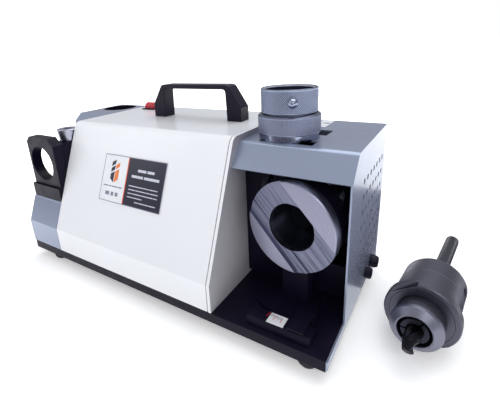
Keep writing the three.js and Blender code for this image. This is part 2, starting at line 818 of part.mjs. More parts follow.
function buildWheels(onAxis) {
  const bore = shaft.radius + clearance;
  const specs = [
    ['grinding_wheel', wheel, 1],
    ['thinning_wheel', thinningWheel, -1],
  ];
  for (const [name, spec, outside] of specs) {
    const half = spec.width / 2;
    const hub = turnedX(ring(spec.hubRadius, bore, spec.x - half, spec.x + half), 36);
    piece(machine, `${name}_hub`, onAxis(hub), aluminium);
    const seat = spec.hubRadius + clearance;
    const inner = spec.x - (outside * spec.rim) / 2;
    const outer = spec.x + (outside * spec.rim) / 2;
    const rim = turnedX([
      [seat, inner],
      [spec.radius - 3.5, inner],
      [spec.radius, outer - outside * 2],
      [spec.radius, outer],
      [seat, outer],
      [seat, inner],
    ], round);
    piece(machine, `${name}_rim`, onAxis(rim), abrasive);
    const face = spec.x + outside * half;
    const far = face + outside * wheelNut.thickness;
    const hexagon = [0, 1, 2, 3, 4, 5].map((i) => {
      const turn = (i / 6) * Math.PI * 2;
      return [Math.cos(turn) * wheelNut.radius, Math.sin(turn) * wheelNut.radius];
    });
    const outline = shapeOf(hexagon, roundHole(0, 0, bore));
    const nut = alongX(outline, Math.min(face, far), Math.max(face, far), 12);
    piece(machine, `${name}_nut`, onAxis(nut), darkSteel);
  }
}

function buildGuard() {
  const { radius, left, right, openFrom, openTo } = guard;
  const centre = [motor.axisY, motor.axisZ];
  const outline = new THREE.Shape();
  const from = THREE.MathUtils.degToRad(openTo - 360);
  const to = THREE.MathUtils.degToRad(openFrom);
  outline.absarc(centre[0], centre[1], radius, from, to, false);
  outline.absarc(centre[0], centre[1], radius - sheet, to, from, true);
  outline.closePath();
  const band = alongX(outline, left, right, 30);
  const low = motor.axisZ - radius + 0.3;
  const stem = box(left, right, motor.axisY - 4, motor.axisY + 4, baseTop, low + sheet / 2);
  piece(machine, 'wheel_guard', join(band, stem), blackPaint);
}

function buildElectrics() {
  const { radius, left, right, y, footHalf } = capacitor;
  const z = baseTop + radius + 2;
  const can = turnedX(rod(radius, left, right), 32).translate(0, y, z);
  const middle = (left + right) / 2;
  const mountingFoot = box(middle - 8, middle + 8, y - footHalf, y + footHalf, baseTop, baseTop + 4);
  piece(machine, 'capacitor', join(can, mountingFoot), aluminium);

  const face = base.length;
  const gland = turnedX([
    [3, face - 10],
    [sidePorts.gland - 2, face - 10],
    [sidePorts.gland - 2, face],
    [sidePorts.gland, face],
    [sidePorts.gland, face + 4],
    [sidePorts.gland - 1.5, face + sidePorts.reach],
    [3, face + sidePorts.reach],
    [3, face - 10],
  ], small);
  piece(machine, 'cable_gland', gland.translate(0, sidePorts.glandY, sidePorts.z), blackPlastic);
  const fuse = turnedX([
    [0, face - 18],
    [sidePorts.fuse - 2, face - 18],
    [sidePorts.fuse - 2, face],
    [sidePorts.fuse, face],
    [sidePorts.fuse, face + 5],
    [sidePorts.fuse - 1, face + 6.5],
    [0, face + 6.5],
  ], small);
  piece(machine, 'fuse_holder', fuse.translate(0, sidePorts.fuseY, sidePorts.z), blackPlastic);
}

// ---------------------------------------------------------------- loose collet chuck

const chuckGroup = new THREE.Group();
chuckGroup.position.set(chuck.x, chuck.y, chuck.flange - foot.height);
chuckGroup.rotation.z = THREE.MathUtils.degToRad(port.yaw);
machine.add(chuckGroup);

function buildChuck() {
  const { nose, noseBody, flange, rear, hole } = chuck;
  const { nutEnd, flangeFront, flangeBack, rearEnd } = chuckAt;
  const nut = turned([
    [hole, 0],
    [hole + 1.5, -0.6],
    [nose - 1, 3.4],
    [nose, 4.4],
    [nose, nutEnd],
    [hole, nutEnd],
    [hole, 0],
  ], 64);
  piece(chuckGroup, 'collet_nut', nut, darkSteel);

  const boreRadius = hole + clearance;
  const from = nutEnd + clearance;
  const body = turned([
    [boreRadius, from],
    [noseBody, from],
    [noseBody, flangeFront],
    [rear, flangeFront],
    [rear, rearEnd - 4],
    [rear - 1.2, rearEnd - 1.2],
    [rear - 4, rearEnd],
    [drill.radius + 2, rearEnd],
    [drill.radius + 2, rearEnd - 30],
    [boreRadius, rearEnd - 38],
    [boreRadius, from],
  ], 64);
  const pinHole = turnedX(rod(3.4, rear - 6, rear + 4), 16);
  pinHole.rotateY(THREE.MathUtils.degToRad(-18)).translate(0, rearEnd - 14, 0);
  const seat = turned(ring(rear + 5, rear - 1.5, flangeFront - 1, flangeBack + clearance), 64);
  piece(chuckGroup, 'chuck_body', cut(body, pinHole, seat), darkSteel);

  const inner = rear - 1.5 + clearance;
  const wheelRim = turned([
    [inner, flangeFront],
    [flange - 1, flangeFront],
    [flange, flangeFront + 1],
    [flange, flangeBack - 1],
    [flange - 1, flangeBack],
    [inner, flangeBack],
    [inner, flangeFront],
  ], 64);
  const { half, depth, turn } = indexNotch;
  const notches = [turn, turn + 180].map((angle) => {
    const wedge = shapeOf([[-half, -3], [half, -3], [half, depth], [-half, 0]]);
    const tool = alongZ(wedge, inner + 1, flange + 4).translate(0, flangeFront, 0);
    return tool.rotateY(THREE.MathUtils.degToRad(angle));
  });
  piece(chuckGroup, 'index_flange', cut(wheelRim, ...notches), darkSteel);

  const grip = drill.radius + clearance;
  const jaws = turned([
    [grip, 1],
    [hole - 2.5, 1],
    [hole - clearance, 6],
    [hole - clearance, flangeFront + 4],
    [grip, flangeFront + 4],
    [grip, 1],
  ], 36);
  const slits = [0, 1, 2].map((i) => {
    const slit = box(-0.6, 0.6, 0, 20, 0, hole + 2);
    return slit.rotateY((i / 3) * Math.PI * 2 + 0.5);
  });
  piece(chuckGroup, 'collet', cut(jaws, ...slits), steel);

  const point = drill.radius / Math.tan(THREE.MathUtils.degToRad(drill.pointAngle / 2));
  const bit = turned([
    [0, drill.tip],
    [drill.radius, drill.tip + point],
    [drill.radius, drill.shankEnd - 1.5],
    [drill.radius - 1.5, drill.shankEnd],
    [0, drill.shankEnd],
  ], small);
  piece(chuckGroup, 'drill_bit', bit, darkSteel);
}

buildBase();
buildWhiteCover();
buildBayLiner();
buildRightHousing();
buildRearPanel();
buildLeftHousings();
buildBayBack();
buildHandle();
buildSwitch();
buildLabels();
buildFrontPort();
buildScale();
buildGauge();
buildLeftPorts();
buildMotor();
buildGuard();
buildElectrics();
buildChuck();

// The origin is under the middle of everything, on the bench.
machine.updateMatrixWorld(true);
const reach = new THREE.Box3().setFromObject(machine, true);
const middle = reach.getCenter(new THREE.Vector3());
machine.position.set(-middle.x, -middle.y, -reach.min.z);

const sharpener = new THREE.Group();
sharpener.add(machine);

export default sharpener;
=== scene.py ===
import json
import math

import bmesh
import bpy
import numpy as np
from mathutils import Matrix, Vector


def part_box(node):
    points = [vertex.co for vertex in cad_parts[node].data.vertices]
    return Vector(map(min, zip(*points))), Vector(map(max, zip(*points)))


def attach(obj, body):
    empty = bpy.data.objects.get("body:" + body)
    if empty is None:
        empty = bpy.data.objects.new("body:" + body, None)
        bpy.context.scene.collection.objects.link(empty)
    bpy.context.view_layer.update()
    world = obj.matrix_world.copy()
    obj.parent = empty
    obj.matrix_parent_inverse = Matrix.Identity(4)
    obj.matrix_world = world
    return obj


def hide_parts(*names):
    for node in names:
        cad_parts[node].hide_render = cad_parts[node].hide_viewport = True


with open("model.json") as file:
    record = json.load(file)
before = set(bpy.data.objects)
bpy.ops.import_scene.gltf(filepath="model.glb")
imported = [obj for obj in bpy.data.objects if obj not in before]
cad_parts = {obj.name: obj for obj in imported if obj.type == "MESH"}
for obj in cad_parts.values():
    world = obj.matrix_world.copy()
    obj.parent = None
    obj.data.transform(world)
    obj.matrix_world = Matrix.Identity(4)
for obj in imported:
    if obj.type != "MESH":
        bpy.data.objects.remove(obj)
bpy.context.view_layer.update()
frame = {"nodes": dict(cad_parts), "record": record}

# ------------------------------------------------------------ where things are, in millimetres

MM = 0.001
corner = Vector(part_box("base_plate")[0])  # front left corner, under the base plate


def at(x, y, z):
    """A place in the machine's own millimetres, from the front left corner under the base plate."""
    return corner + Vector((x, y, z)) * MM


right_face, rear_face = 400, 180
base_top = 10.5
cover_knee, cover_lean, cover_top = 39.6, 0.43, 165
liner_face = 291.3
roof_top = 159.5
gauge_x, gauge_y = 327.4, 95.7
lower_ring = {"radius": 29.2, "low": 165.6, "high": 182.5}
upper_ring = {"radius": 26.2, "low": 183.4, "high": 205.6}
ring_bore = 24.3
port_yaw_degrees = -7.2
port_yaw = math.radians(port_yaw_degrees)
port_x, port_y, port_axis_height = 356.7, 84, 93
disc_face = 44.4
scale_top = 17.8
motor_y, motor_z = 128, 92
enamel_colour = (0.80, 0.81, 0.85)
chuck_place = Matrix.Translation(at(452, 55.5, 18)) @ Matrix.Rotation(port_yaw, 4, "Z")
along_chuck = chuck_place @ Matrix.Rotation(math.radians(-90), 4, "X")  # its own Z runs to the shank
gauge_place = Matrix.Translation(at(gauge_x, gauge_y, 0))

body_of = {}
for body, nodes in frame["record"]["behaviour"]["bodies"].items():
    for node in nodes:
        body_of[node] = body

# ------------------------------------------------------------ camera, light and floor


def build_studio():
    scene = bpy.context.scene
    lens = bpy.data.cameras.new("bench_view")
    lens.sensor_width = 36
    lens.lens = 25.352
    lens.shift_x = 0.0412
    lens.shift_y = -0.0896
    lens.clip_start = 0.01
    camera = bpy.data.objects.new("bench_view", lens)
    camera.location = at(457.9, -208.6, 240.9)
    camera.rotation_euler = [math.radians(a) for a in (71.833, 2.970, 32.401)]
    scene.collection.objects.link(camera)
    scene.camera = camera

    lamps = [
        ("key_softbox", (0.85, -1.45, 1.35), 0.8, 6, (1.0, 1.0, 1.0)),
        ("left_softbox", (-1.4, -0.9, 1.0), 1.0, 3, (0.97, 0.98, 1.0)),
        ("top_softbox", (0.1, 0.5, 1.7), 1.6, 17, (0.94, 0.97, 1.0)),
    ]
    for name, place, size, watts, colour in lamps:
        lamp = bpy.data.lights.new(name, "AREA")
        lamp.shape = "SQUARE"
        lamp.size = size
        lamp.energy = watts
        lamp.color = colour
        holder = bpy.data.objects.new(name, lamp)
        holder.location = place
        aim = Vector((-0.02, 0, 0.08)) - Vector(place)
        holder.rotation_euler = aim.to_track_quat("-Z", "Y").to_euler()
        scene.collection.objects.link(holder)

    world = bpy.data.worlds.new("pale_room")
    scene.world = world
    world.use_nodes = True
    tree = world.node_tree
    tree.nodes.clear()
    out = tree.nodes.new("ShaderNodeOutputWorld")
    backdrop = tree.nodes.new("ShaderNodeBackground")
    backdrop.inputs["Color"].default_value = (1, 1, 1, 1)
    backdrop.inputs["Strength"].default_value = 1.0
    room = tree.nodes.new("ShaderNodeBackground")
    room.inputs["Strength"].default_value = 0.66
    way = tree.nodes.new("ShaderNodeTexCoord")
    apart = tree.nodes.new("ShaderNodeSeparateXYZ")
    tree.links.new(way.outputs["Generated"], apart.inputs[0])
    shade = tree.nodes.new("ShaderNodeValToRGB")
    shade.color_ramp.elements[0].position = 0.0
    shade.color_ramp.elements[0].color = (0.40, 0.40, 0.48, 1)
    shade.color_ramp.elements[1].position = 0.7
    shade.color_ramp.elements[1].color = (1, 1, 1, 1)
    tree.links.new(apart.outputs["Z"], shade.inputs["Fac"])
    tree.links.new(shade.outputs["Color"], room.inputs["Color"])
    path = tree.nodes.new("ShaderNodeLightPath")
    choose = tree.nodes.new("ShaderNodeMixShader")
    tree.links.new(path.outputs["Is Camera Ray"], choose.inputs["Fac"])
    tree.links.new(room.outputs[0], choose.inputs[1])
    tree.links.new(backdrop.outputs[0], choose.inputs[2])
    tree.links.new(choose.outputs[0], out.inputs["Surface"])

    scene.view_settings.view_transform = "Standard"


# ------------------------------------------------------------ finishes


class Finish:
    """A node material under construction: a principled shader and the nodes that feed it."""

    def __init__(self, name, roughness=0.5, metal=0.0, **constants):
        self.material = bpy.data.materials.new(name)
        self.material.use_nodes = True
        self.tree = self.material.node_tree
        self.tree.nodes.clear()
        out = self.node("OutputMaterial")
        self.shader = self.node("BsdfPrincipled")
        self.join(self.shader.outputs["BSDF"], out.inputs["Surface"])
        self.shader.inputs["Roughness"].default_value = roughness
        self.shader.inputs["Metallic"].default_value = metal
        for label, value in constants.items():
            self.shader.inputs[label.replace("_", " ")].default_value = value
        self.where = self.node("TexCoord").outputs["Object"]
        self.normal = None

    def node(self, kind, **settings):
        made = self.tree.nodes.new("ShaderNode" + kind)
        for key, value in settings.items():
            setattr(made, key, value)
        return made

    def join(self, a, b):
        self.tree.links.new(a, b)

    def placed(self, place=None, stretch=(1, 1, 1)):
        """Object coordinates turned into the piece's own axes, and stretched along them."""
        source = self.where
        if place is not None:
            shift = self.node("Mapping", vector_type="TEXTURE")
            shift.inputs["Location"].default_value = place.to_translation()
            shift.inputs["Rotation"].default_value = place.to_euler()
            self.join(source, shift.inputs["Vector"])
            source = shift.outputs["Vector"]
        scaled = self.node("Mapping")
        scaled.inputs["Scale"].default_value = stretch
        self.join(source, scaled.inputs["Vector"])
        return scaled.outputs["Vector"]

    def noise(self, scale, vector=None, detail=2.0, roughness=0.5):
        made = self.node("TexNoise")
        made.inputs["Scale"].default_value = scale
        made.inputs["Detail"].default_value = detail
        made.inputs["Roughness"].default_value = roughness
        self.join(vector or self.where, made.inputs["Vector"])
        return made.outputs["Fac"]

    def math(self, operation, a, b=None):
        made = self.node("Math", operation=operation)
        for socket, value in zip(made.inputs, (a, b)):
            if isinstance(value, (int, float)):
                socket.default_value = value
            elif value is not None:
                self.join(value, socket)
        return made.outputs[0]

    def turning_lines(self, place, pitch):
        """Fine rings left by the lathe: they vary with the distance from the axis and along it."""
        apart = self.node("SeparateXYZ")
        self.join(self.placed(place), apart.inputs[0])
        x, y, z = apart.outputs
        square = self.math("ADD", self.math("MULTIPLY", x, x), self.math("MULTIPLY", y, y))
        run = self.math("ADD", self.math("SQRT", square), z)
        lines = self.node("TexNoise", noise_dimensions="1D")
        lines.inputs["Scale"].default_value = 1 / (pitch * MM)
        lines.inputs["Detail"].default_value = 3
        self.join(run, lines.inputs["W"])
        return lines.outputs["Fac"]

    def spread(self, factor, low, high, start=0.3, end=0.7):
        """Values or colours from low to high as the factor goes from start to end."""
        ramp_node = self.node("ValToRGB")
        ramp = ramp_node.color_ramp
        ramp.elements[0].position = start
        ramp.elements[1].position = end
        for element, value in zip(ramp.elements, (low, high)):
            element.color = (value, value, value, 1) if isinstance(value, float) else (*value, 1)
        self.join(factor, ramp_node.inputs["Fac"])
        return ramp_node.outputs["Color"]

    def colour(self, source):
        self.join(source, self.shader.inputs["Base Color"])

    def rough(self, source):
        self.join(source, self.shader.inputs["Roughness"])

    def relief(self, height, depth, strength=1.0):
        """Adds a relief of that depth in millimetres on top of what is there already."""
        raised = self.node("Bump")
        raised.inputs["Strength"].default_value = strength
        raised.inputs["Distance"].default_value = depth * MM
        self.join(height, raised.inputs["Height"])
        if self.normal is not None:
            self.join(self.normal, raised.inputs["Normal"])
        self.normal = raised.outputs["Normal"]
        self.join(self.normal, self.shader.inputs["Normal"])


def shades(colour, change):
    return tuple(c * (1 - change) for c in colour), tuple(min(1, c * (1 + change)) for c in colour)


def sprayed_paint(name, colour, roughness, metal, coat, peel):
    finish = Finish(name, roughness, metal, Coat_Weight=coat, Coat_Roughness=0.08)
    darker, lighter = shades(colour, 0.015)
    finish.colour(finish.spread(finish.noise(9, detail=3), darker, lighter))
    finish.rough(finish.spread(finish.noise(45, detail=2), roughness * 0.97, roughness * 1.04))
    finish.relief(finish.noise(650, detail=2), peel, 0.5)
    return finish.material


def powder_coat(name, colour, roughness):
    finish = Finish(name, roughness, Specular_IOR_Level=0.13)
    darker, lighter = shades(colour, 0.2)
    finish.colour(finish.spread(finish.noise(30, detail=4), darker, lighter))
    finish.rough(finish.spread(finish.noise(80, detail=3), roughness * 0.8, roughness * 1.2))
    finish.relief(finish.noise(1500, detail=3), 0.012, 0.5)
    return finish.material


def moulded_plastic(name, colour, roughness, grain=0.012, shine=0.35):
    finish = Finish(name, roughness, Specular_IOR_Level=shine)
    darker, lighter = shades(colour, 0.12)
    finish.colour(finish.spread(finish.noise(40, detail=3), darker, lighter))
    finish.rough(finish.spread(finish.noise(200, detail=3), roughness * 0.85, roughness * 1.15))
    finish.relief(finish.noise(2600, detail=2), grain, 0.35)
    return finish.material


def turned_metal(name, colour, roughness, place, pitch=0.35, depth=0.0015, streak=0.10):
    finish = Finish(name, roughness, 1.0)
    lines = finish.turning_lines(place, pitch)
    darker, lighter = shades(colour, streak)
    finish.colour(finish.spread(lines, darker, lighter, 0.25, 0.75))
    finish.rough(finish.spread(finish.noise(120, detail=4), roughness * 0.9, roughness * 1.12))
    finish.relief(lines, depth, 0.6)
    return finish.material


def knurled_metal(name, colour, place, radius, groove):
    """Turned steel with painted shade in its knurl grooves: the colour darkens where they lie nearer the
    axis.
    """
    finish = Finish(name, 0.34, 0.85)
    apart = finish.node("SeparateXYZ")
    finish.join(finish.placed(place), apart.inputs[0])
    x, y, z = apart.outputs
    square = finish.math("ADD", finish.math("MULTIPLY", x, x), finish.math("MULTIPLY", y, y))
    below_crest = finish.math("SUBTRACT", radius * MM, finish.math("SQRT", square))
    sunk = finish.math("DIVIDE", below_crest, groove * MM)
    darker, lighter = shades(colour, 0.5)
    # Painted shade: darker down in the knurl grooves, lighter on the crests.
    finish.colour(finish.spread(sunk, lighter, darker, 0.15, 0.85))
    finish.rough(finish.spread(finish.noise(60, detail=4), 0.28, 0.42))
    return finish.material


def liner_paint(name):
    """White like the cover on the flange; on the panel that faces the bay, the white enamel gets painted
    shade: grey, darker higher up.
    """
    finish = Finish(name, 0.36, Coat_Weight=0.15)
    apart = finish.node("SeparateXYZ")
    finish.join(finish.where, apart.inputs[0])
    foot, head = corner.z, corner.z + cover_top * MM
    height = finish.math("DIVIDE", finish.math("SUBTRACT", apart.outputs["Z"], foot), head - foot)
    # Painted shade: the panel inside the bay is white enamel shaded to grey, and darker towards the top.
    panel = finish.spread(height, (0.56, 0.56, 0.59), (0.25, 0.24, 0.28), 0.1, 1.0)
    on_panel = finish.math("GREATER_THAN", apart.outputs["X"], corner.x + (liner_face - 0.25) * MM)
    blend = finish.node("Mix", data_type="RGBA")
    finish.join(on_panel, blend.inputs["Factor"])
    blend.inputs[6].default_value = (*enamel_colour, 1)
    finish.join(panel, blend.inputs[7])
    finish.colour(blend.outputs[2])
    finish.relief(finish.noise(650, detail=2), 0.002, 0.5)
    return finish.material


def ground_metal(name, colour, roughness, stretch=(1, 1, 14), place=None):
    finish = Finish(name, roughness, 1.0)
    scratches = finish.noise(240, finish.placed(place, stretch), detail=4, roughness=0.65)
    darker, lighter = shades(colour, 0.16)
    finish.colour(finish.spread(scratches, darker, lighter))
    finish.rough(finish.spread(scratches, roughness * 0.85, roughness * 1.2))
    finish.relief(scratches, 0.002, 0.5)
    return finish.material


def plated_grit(name):
    finish = Finish(name, 0.7, 0.35)
    grains = finish.node("TexVoronoi", feature="F1")
    grains.inputs["Scale"].default_value = 2200
    finish.join(finish.where, grains.inputs["Vector"])
    crest, gap = (0.16, 0.15, 0.12), (0.035, 0.033, 0.03)
    finish.colour(finish.spread(grains.outputs["Distance"], crest, gap, 0.1, 0.6))
    finish.relief(grains.outputs["Distance"], 0.12, 0.9)
    return finish.material


def printed_film(name, colour, roughness=0.35):
    finish = Finish(name, roughness, Coat_Weight=0.25, Coat_Roughness=0.15)
    darker, lighter = shades(colour, 0.03)
    finish.colour(finish.spread(finish.noise(60, detail=2), darker, lighter))
    finish.relief(finish.noise(1800, detail=2), 0.008, 0.3)
    return finish.material


def soft_rubber(name):
    finish = Finish(name, 0.85)
    finish.colour(finish.spread(finish.noise(90, detail=4), (0.010, 0.010, 0.012), (0.03, 0.03, 0.033)))
    finish.relief(finish.noise(1200, detail=3), 0.06, 0.6)
    return finish.material


def faced_disc(name, place):
    """Turned lands, and a milled channel across them that lies lower and is darker."""
    finish = Finish(name, 0.36, 1.0)
    lines = finish.turning_lines(place, 0.5)
    lands = finish.spread(lines, (0.25, 0.25, 0.34), (0.36, 0.36, 0.47), 0.25, 0.75)
    along = place @ Matrix.Rotation(math.radians(-45), 4, "Z")
    streaks = finish.noise(420, finish.placed(along, (0.05, 1, 1)), detail=3, roughness=0.6)
    channel = finish.spread(streaks, (0.09, 0.095, 0.15), (0.24, 0.25, 0.34))
    apart = finish.node("SeparateXYZ")
    finish.join(finish.placed(place), apart.inputs[0])
    is_land = finish.math("GREATER_THAN", apart.outputs["Z"], (disc_face - 0.6) * MM)
    blend = finish.node("Mix", data_type="RGBA")
    finish.join(is_land, blend.inputs["Factor"])
    finish.join(channel, blend.inputs[6])
    finish.join(lands, blend.inputs[7])
    finish.colour(blend.outputs[2])
    finish.relief(lines, 0.0015, 0.6)
    return finish.material


def pale_floor():
    """Pale and plain: it keeps the soft shadow near the machine and glows to white further off."""
    finish = Finish("pale_floor", 0.8, Specular_IOR_Level=0.0)
    finish.colour(finish.spread(finish.noise(3, detail=2), (0.94, 0.94, 0.95), (0.96, 0.96, 0.965)))
    away = finish.node("VectorMath", operation="LENGTH")
    finish.join(finish.where, away.inputs[0])
    glow = finish.spread(away.outputs["Value"], 0.30, 1.0, 0.28, 0.8)
    finish.shader.inputs["Emission Color"].default_value = (1, 1, 1, 1)
    finish.join(glow, finish.shader.inputs["Emission Strength"])
    return finish.material


motor_place = Matrix.Translation(at(0, motor_y, motor_z)) @ Matrix.Rotation(math.radians(90), 4, "Y")
port_place = (
    Matrix.Translation(at(port_x, port_y, port_axis_height))
    @ Matrix.Rotation(port_yaw, 4, "Z")
    @ Matrix.Rotation(math.radians(90), 4, "X")
)
knob_place = Matrix.Translation(at(45.4, 49, 141))

silver = sprayed_paint("silver_blue_paint", (0.29, 0.335, 0.45), 0.26, 0.50, 0.10, peel=0.0004)
white = sprayed_paint("white_enamel", enamel_colour, 0.30, 0.0, 0.5, peel=0.002)
liner_enamel_and_shade = liner_paint("liner_enamel_with_painted_shade")
black = powder_coat("black_powder_coat", (0.006, 0.0045, 0.0145), 0.40)
black_plastic = moulded_plastic("black_plastic", (0.007, 0.0045, 0.016), 0.32, shine=0.18)
red_plastic = moulded_plastic("red_switch_plastic", (0.50, 0.008, 0.025), 0.18, grain=0.003, shine=0.5)
rubber = soft_rubber("foot_rubber")
lower_steel = knurled_metal("lower_ring_steel", (0.27, 0.30, 0.42), gauge_place, lower_ring["radius"], 0.5)
upper_steel = knurled_metal("upper_ring_steel", (0.27, 0.31, 0.43), gauge_place, upper_ring["radius"], 0.5)
gauge_polish = turned_metal("polished_gauge_steel", (0.30, 0.33, 0.44), 0.18, gauge_place, 0.5, 0.001, 0.08)
# Painted reflection: a pale, barely metallic finish stands in for the bright reflection on the polished
# bore's far wall.
bore_painted_reflection = moulded_plastic("bore_face_painted_reflection", (0.66, 0.69, 0.76), 0.35, grain=0.001, shine=0.8)
disc_steel = faced_disc("port_disc_steel", port_place)
bore_steel = turned_metal("port_bore_steel", (0.10, 0.105, 0.16), 0.34, port_place, 0.8, 0.003, 0.2)
knob_metal = turned_metal("knob_aluminium", (0.44, 0.45, 0.54), 0.32, knob_place, 0.4)
shaft_steel = turned_metal("shaft_steel", (0.40, 0.41, 0.46), 0.28, motor_place)
hub_aluminium = turned_metal("hub_aluminium", (0.50, 0.52, 0.57), 0.36, motor_place, 0.6)
gunmetal = turned_metal("gunmetal", (0.110, 0.110, 0.140), 0.40, along_chuck, 0.45, 0.0015, 0.14)
nose_steel = turned_metal("nose_ring_steel", (0.20, 0.205, 0.26), 0.40, along_chuck, 0.4, 0.0015, 0.12)
jaw_steel = ground_metal("jaw_steel", (0.035, 0.036, 0.050), 0.42, (1, 14, 1))
drill_steel = ground_metal("drill_steel", (0.075, 0.075, 0.095), 0.38, (1, 1, 10), along_chuck)
drill_tip_steel = ground_metal("drill_tip_steel", (0.016, 0.016, 0.021), 0.46, (1, 1, 8), along_chuck)
screw_steel = ground_metal("screw_steel", (0.36, 0.37, 0.43), 0.32, (1, 1, 1))
black_screw = ground_metal("blackened_screw", (0.035, 0.035, 0.045), 0.40, (1, 1, 1))
grit = plated_grit("plated_grit")
label_white = printed_film("label_white", (0.78, 0.80, 0.84))
label_navy = printed_film("label_navy", (0.010, 0.010, 0.028), 0.3)
label_grey = printed_film("label_grey_line", (0.20, 0.22, 0.28))
label_orange = printed_film("label_orange", (0.78, 0.20, 0.04))
label_red = printed_film("label_red_line", (0.50, 0.02, 0.02))
label_black = printed_film("label_black", (0.020, 0.020, 0.030))
label_pale = printed_film("label_pale_print", (0.55, 0.57, 0.66))
card_finish = printed_film("dark_card", (0.07, 0.06, 0.10), 0.9)

# ------------------------------------------------------------ making pieces


def placed_object(name, mesh, material=None):
    if material is not None:
        mesh.materials.clear()
        mesh.materials.append(material)
    mesh.name = name
    made = bpy.data.objects.new(name, mesh)
    bpy.context.scene.collection.objects.link(made)
    return made


def mesh_of(points, faces):
    mesh = bpy.data.meshes.new("shape")
    mesh.from_pydata([tuple(p) for p in points], [], faces)
    mesh.update()
    return mesh


def shade_by_angle(work, limit=38):
    for face in work.faces:
        face.smooth = True
    for edge in work.edges:
        edge.smooth = len(edge.link_faces) == 2 and edge.calc_face_angle(0) < math.radians(limit)


def weigh_normals(piece):
    weighed = piece.modifiers.new("even_shading", "WEIGHTED_NORMAL")
    weighed.keep_sharp = True
    weighed.weight = 60


def settle(piece, body):
    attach(piece, body)
    return piece


def dressed(node, material, edge=0.35, angle=38, segments=2):
    """The node's own solid with its sharp edges broken and its curves shaded smooth."""
    mesh = frame["nodes"][node].data.copy()
    work = bmesh.new()
    work.from_mesh(mesh)
    bmesh.ops.remove_doubles(work, verts=work.verts, dist=1e-6)
    bmesh.ops.dissolve_limit(work, angle_limit=math.radians(0.6), verts=work.verts, edges=work.edges)
    if edge:
        sharp = [
            e for e in work.edges
            if len(e.link_faces) == 2 and e.calc_face_angle(0) > math.radians(angle)
        ]
        bmesh.ops.bevel(
            work, geom=sharp, offset=edge * MM, offset_type="OFFSET", segments=segments,
            profile=0.5, affect="EDGES", clamp_overlap=True,
        )
    shade_by_angle(work)
    work.to_mesh(mesh)
    work.free()
    piece = placed_object(node + "_skin", mesh, material)
    weigh_normals(piece)
    settle(piece, body_of[node])
    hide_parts(node)
    return piece


def turned_mesh(rings, segments, loop=False):
    """A lathe shape about its own Z. Each ring is (radius, height), with the radius a number or
    a function of the turn, and a ring of radius 0 closes to a point."""
    points, rows = [], []
    for radius, height in rings:
        if radius == 0:
            rows.append([len(points)] * segments)
            points.append((0, 0, height))
            continue
        row = []
        for i in range(segments):
            turn = 2 * math.pi * i / segments
            reach = radius(turn) if callable(radius) else radius
            row.append(len(points))
            points.append((reach * math.cos(turn), reach * math.sin(turn), height))
        rows.append(row)
    if loop:
        rows.append(rows[0])
    faces = []
    for a, b in zip(rows, rows[1:]):
        for i in range(segments):
            k = (i + 1) % segments
            face = [a[i], a[k], b[k], b[i]]
            face = [v for n, v in enumerate(face) if v not in face[:n]]
            if len(face) > 2:
                faces.append(face)
    mesh = mesh_of([Vector(p) * MM for p in points], faces)
    work = bmesh.new()
    work.from_mesh(mesh)
    bmesh.ops.recalc_face_normals(work, faces=work.faces)
    shade_by_angle(work)
    work.to_mesh(mesh)
    work.free()
    return mesh


def turned_piece(name, rings, material, place, body, segments=64, loop=False):
    mesh = turned_mesh(rings, segments, loop)
    mesh.transform(place)
    return settle(placed_object(name, mesh, material), body)


# ------------------------------------------------------------ trees that repeat a shape


class Pattern:
    """A geometry tree with named sizes, grown on a start mesh and baked to a plain mesh."""

    def __init__(self, name, sizes):
        self.tree = bpy.data.node_groups.new(name, "GeometryNodeTree")
        face = self.tree.interface
        face.new_socket("Geometry", in_out="OUTPUT", socket_type="NodeSocketGeometry")
        face.new_socket("Geometry", in_out="INPUT", socket_type="NodeSocketGeometry")
        for label, kind in sizes:
            face.new_socket(label, in_out="INPUT", socket_type="NodeSocket" + kind)
        face.new_socket("Material", in_out="INPUT", socket_type="NodeSocketMaterial")
        self.start = self.node("NodeGroupInput", plain=True)

    def node(self, kind, plain=False, **settings):
        made = self.tree.nodes.new(kind if plain else "GeometryNode" + kind)
        for key, value in settings.items():
            setattr(made, key, value)
        return made

    def join(self, a, b):
        self.tree.links.new(a, b)

    def math(self, operation, a, b=None):
        made = self.node("ShaderNodeMath", plain=True, operation=operation)
        for socket, value in zip(made.inputs, (a, b)):
            if isinstance(value, (int, float)):
                socket.default_value = value
            elif value is not None:
                self.join(value, socket)
        return made.outputs[0]

    def close(self, geometry):
        real = self.node("RealizeInstances")
        paint = self.node("SetMaterial")
        end = self.node("NodeGroupOutput", plain=True)
        self.join(geometry, real.inputs[0])
        self.join(real.outputs[0], paint.inputs["Geometry"])
        self.join(self.start.outputs["Material"], paint.inputs["Material"])
        self.join(paint.outputs[0], end.inputs["Geometry"])

    def grow(self, name, mesh, material, **sizes):
        """A finished object: the tree's result on the start mesh, with no modifier left."""
        holder = placed_object(name, mesh)
        modifier = holder.modifiers.new("pattern", "NODES")
        modifier.node_group = self.tree
        values = dict(sizes, Material=material)
        for socket in self.tree.interface.items_tree:
            if socket.in_out == "INPUT" and socket.name in values:
                modifier[socket.identifier] = values[socket.name]
        graph = bpy.context.evaluated_depsgraph_get()
        result = bpy.data.meshes.new_from_object(holder.evaluated_get(graph))
        holder.modifiers.remove(modifier)
        holder.data = result
        result.name = name
        return holder


